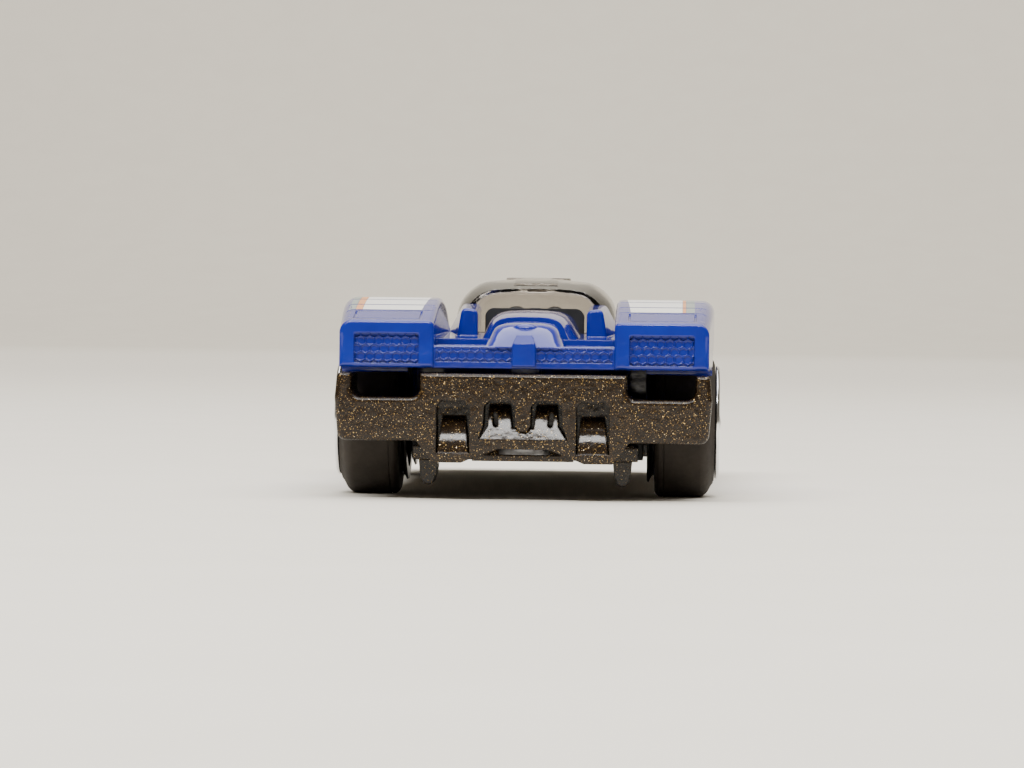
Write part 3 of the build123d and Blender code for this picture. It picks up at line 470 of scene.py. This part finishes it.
for end, (centre, tyre_r, rim_r, inner_x, lip_x) in WHEELS.items():
    web_x = inner_x + 0.3 * (lip_x - inner_x)
    for side_name, side in (("left", -1), ("right", 1)):
        corner = f"{end}_{side_name}"
        body = f"{corner}_wheel"
        bm = bmesh.new()
        lathe(bm, tyre_profile(tyre_r, rim_r, inner_x, lip_x), centre, side, 160)
        name = f"{corner}_tyre_rubber"
        tyre = add_piece(name, finish_mesh(bm, name), RUBBER, body, 40)
        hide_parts(f"{corner}_tyre")
        bm = bmesh.new()
        lathe(bm, lip_profile(rim_r, web_x, lip_x), centre, side, 160)
        lathe(bm, hub_profile(web_x, lip_x), centre, side, 64)
        for k in range(SPOKES):
            angle = math.pi / 2 + 2 * math.pi * k / SPOKES
            add_spoke(bm, angle, rim_r, web_x, lip_x, side, centre)
            nut_angle = angle + math.pi / SPOKES
            nut_y = centre[0] + NUT_CIRCLE_R * math.cos(nut_angle)
            nut_z = centre[1] + NUT_CIRCLE_R * math.sin(nut_angle)
            add_nut(bm, (nut_y, nut_z), web_x + 0.9, lip_x - 0.62, NUT_R, side)
        name = f"{corner}_plated_face"
        face = add_piece(name, finish_mesh(bm, name), CHROME, body, 38)
        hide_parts(f"{corner}_wheel_face")


# ---------------------------------------------------------------- printed stripes
shell_mesh = NODES["body_shell"].data
shell_tree = BVHTree.FromPolygons(
    [v.co.copy() for v in shell_mesh.vertices], [tuple(q.vertices) for q in shell_mesh.polygons]
)
TAIL = -37.0  # y of the car's rear face
INK_LIFT = 0.012  # mm that the ink stands proud of the enamel
ABOVE_CAR = 30.0  # mm


def drop(x, y):
    """The point on the top of the shell over a place in plan, lifted by the ink's height; x and y in mm."""
    hit, normal, _, _ = shell_tree.ray_cast(Vector((x, y, ABOVE_CAR)) * MM, Vector((0, 0, -1)))
    return (hit + normal * INK_LIFT * MM) if hit else None


def top_print(bm, corners, step=0.3):
    """A patch between four plan corners, laid on the top of the shell."""
    a, b, c, d = (Vector(p) for p in corners)
    across = max(2, int(max((b - a).length, (c - d).length) / step))
    along = max(2, int(max((d - a).length, (c - b).length) / step))
    grid = []
    for j in range(along + 1):
        v = j / along
        row = []
        for i in range(across + 1):
            u = i / across
            p = (a * (1 - u) + b * u) * (1 - v) + (d * (1 - u) + c * u) * v
            at = drop(p.x, p.y)
            row.append(bm.verts.new(at) if at else None)
        grid.append(row)
    for j in range(along):
        for i in range(across):
            quad = (grid[j][i], grid[j][i + 1], grid[j + 1][i + 1], grid[j + 1][i])
            if all(quad):
                bm.faces.new(quad)


# where each row starts and ends, in mm ahead of the rear face
ROWS = ((5.35, 7.55), (7.85, 10.75), (11.05, 14.05))
# the outer x of the white, orange and grey blocks, on the left and on the right
EDGES = {-1: (14.05, 14.65, 15.25), 1: (13.4, 13.7, 14.45)}
INNER_EDGE = 8.98  # inner x of the white blocks, which moves in by INNER_TAPER for each mm ahead of INNER_FROM
INNER_TAPER, INNER_FROM = 0.05, 5.3
INK_GAP = 0.03
INKS = (("white", WHITE_INK), ("orange", ORANGE_INK), ("grey", GREY_INK))
for index, (tone, ink) in enumerate(INKS):
    bm = bmesh.new()
    for side, edges in EDGES.items():
        outer = edges[index]
        for near, far in ROWS:
            if index == 0:
                inner = [INNER_EDGE - INNER_TAPER * (d - INNER_FROM) for d in (near, far)]
            else:
                inner = [edges[index - 1] + INK_GAP] * 2
            plan = ((inner[0], near), (outer, near), (outer, far), (inner[1], far))
            top_print(bm, [(side * x, TAIL + d) for x, d in plan])
    mesh = finish_mesh(bm, f"stripe_{tone}")
    if sum(q.normal.z for q in mesh.polygons) < 0:
        mesh.flip_normals()
    add_piece(f"stripe_{tone}", mesh, ink, "car_body", 60)


# ---------------------------------------------------------------- lamps in the front recesses
LAMP_AT = (12.0, 31.4, 10.25)  # middle of the recess floor
LAMP_LEAN = math.atan2(0.56, 0.83)  # how far the floor leans forward
LAMP_SIZE = (3.7, 1.55)
# share of the lamp's width and height above the floor, for its rim and dish
LAMP_LAYERS = ((1.0, 0.03), (1.0, 0.16), (0.95, 0.22), (0.80, 0.22), (0.74, 0.16), (0.55, 0.17))
BULB_R = 0.42
BULB_SPREAD = 0.95  # each bulb's distance from the lamp's middle
BULB_FOOT = 0.15
# share of the bulb's radius and height above its foot
BULB_RINGS = ((1.0, 0.0), (0.94, 0.12), (0.76, 0.24), (0.45, 0.32), (0.15, 0.35))


def slot_outline(length, width, steps=16):
    """A slot with round ends."""
    r, half = width / 2, (length - width) / 2
    angles = [math.pi * k / steps for k in range(steps + 1)]
    right = [(half + r * math.sin(a), -r * math.cos(a)) for a in angles]
    return right + [(-x, -y) for x, y in right]


def stack_rings(bm, rings, place):
    """A closed dome or dish over a stack of rings, each a list of (x, y, height)."""
    made = [[bm.verts.new(place @ Vector(p)) for p in ring] for ring in rings]
    count = len(made[0])
    for one, two in zip(made, made[1:]):
        for i in range(count):
            j = (i + 1) % count
            bm.faces.new((one[i], one[j], two[j], two[i]))
    bm.faces.new(made[0][::-1])
    bm.faces.new(made[-1])


for side_name, side in (("left", -1), ("right", 1)):
    middle = Vector((side * LAMP_AT[0], *LAMP_AT[1:])) * MM
    lean = Matrix.Translation(middle) @ Matrix.Rotation(-LAMP_LEAN, 4, "X")
    place = lean @ Matrix.Scale(MM, 4)
    bm = bmesh.new()
    rim = slot_outline(*LAMP_SIZE)
    shrink = [(1 - (1 - share) * LAMP_SIZE[1] / LAMP_SIZE[0], share, up) for share, up in LAMP_LAYERS]
    stack_rings(bm, [[(x * along, y * across, up) for x, y in rim] for along, across, up in shrink], place)
    for offset in (-BULB_SPREAD, BULB_SPREAD):
        circle = [(math.cos(math.pi * k / 16), math.sin(math.pi * k / 16)) for k in range(32)]
        rings = []
        for share, up in BULB_RINGS:
            r = BULB_R * share
            rings.append([(offset + r * x, r * y, BULB_FOOT + up) for x, y in circle])
        stack_rings(bm, rings, place)
    name = f"{side_name}_headlamp_print"
    add_piece(name, finish_mesh(bm, name), CHROME, "car_body", 35)


# ---------------------------------------------------------------- stage, light and camera
def stage_floor():
    """A pale sweep: flat floor that curves up far behind the car."""
    depth, width, radius, height = 1.6, 2.6, 0.8, 1.6
    profile = [(-depth, 0.0), (depth, 0.0)]
    profile += [
        (depth + radius * math.sin(a * math.pi / 24), radius - radius * math.cos(a * math.pi / 24))
        for a in range(1, 13)
    ]
    profile.append((depth + radius, height))
    verts = [(x, y, z) for y, z in profile for x in (-width, width)]
    faces = [(2 * i, 2 * i + 1, 2 * i + 3, 2 * i + 2) for i in range(len(profile) - 1)]
    mesh = bpy.data.meshes.new("floor")
    mesh.from_pydata(verts, [], faces)
    for polygon in mesh.polygons:
        polygon.use_smooth = True
    obj = bpy.data.objects.new("floor", mesh)
    bpy.context.scene.collection.objects.link(obj)
    s = Shader("floor_paper")
    s.link(s.mottle(60.0, 3.0, (0.78, 0.74, 0.66), (0.80, 0.76, 0.68)), "Base Color")
    s.set(Roughness=0.75)
    assign(obj, s.material)


stage_floor()


def area_light(name, place, target, size, power, colour):
    data = bpy.data.lights.new(name, "AREA")
    data.shape = "RECTANGLE"
    data.size, data.size_y = size
    data.energy = power
    data.color = colour
    obj = bpy.data.objects.new(name, data)
    obj.location = place
    obj.rotation_euler = (Vector(target) - Vector(place)).to_track_quat("-Z", "Y").to_euler()
    bpy.context.scene.collection.objects.link(obj)


# name, place, target, size (m), power (W), colour
area_light("key_top", (0.05, 0.08, 0.60), (0, 0.02, 0), (0.9, 0.7), 8.5, (1.0, 0.98, 0.95))
area_light("strip_high_rear", (-0.1, -0.42, 0.50), (0, 0, 0.01), (0.7, 0.10), 6.0, (1.0, 0.99, 0.97))
area_light("backdrop_wash", (0.0, 0.9, 1.2), (0, 2.0, 0.4), (1.6, 0.6), 30.0, (1.0, 0.97, 0.92))

world = bpy.data.worlds.new("studio")
world.use_nodes = True
world.node_tree.nodes["Background"].inputs["Color"].default_value = (1.0, 0.90, 0.74, 1.0)
world.node_tree.nodes["Background"].inputs["Strength"].default_value = 0.18
bpy.context.scene.world = world

camera_data = bpy.data.cameras.new("camera")
camera_data.lens = 149.4
camera_data.sensor_width = 36.0
camera_data.clip_start = 0.01
camera = bpy.data.objects.new("camera", camera_data)
bpy.context.scene.collection.objects.link(camera)
YAW, PITCH, ROLL = 2.2, -0.89, 0.68  # degrees
camera.location = (12.85 * MM, -396.0 * MM, 15.5 * MM)
turn = Matrix.Rotation(math.radians(YAW), 4, "Z") @ Matrix.Rotation(math.radians(90 + PITCH), 4, "X")
camera.matrix_world = Matrix.Translation(camera.location) @ turn @ Matrix.Rotation(math.radians(ROLL), 4, "Z")
bpy.context.scene.camera = camera

bpy.context.view_layer.update()
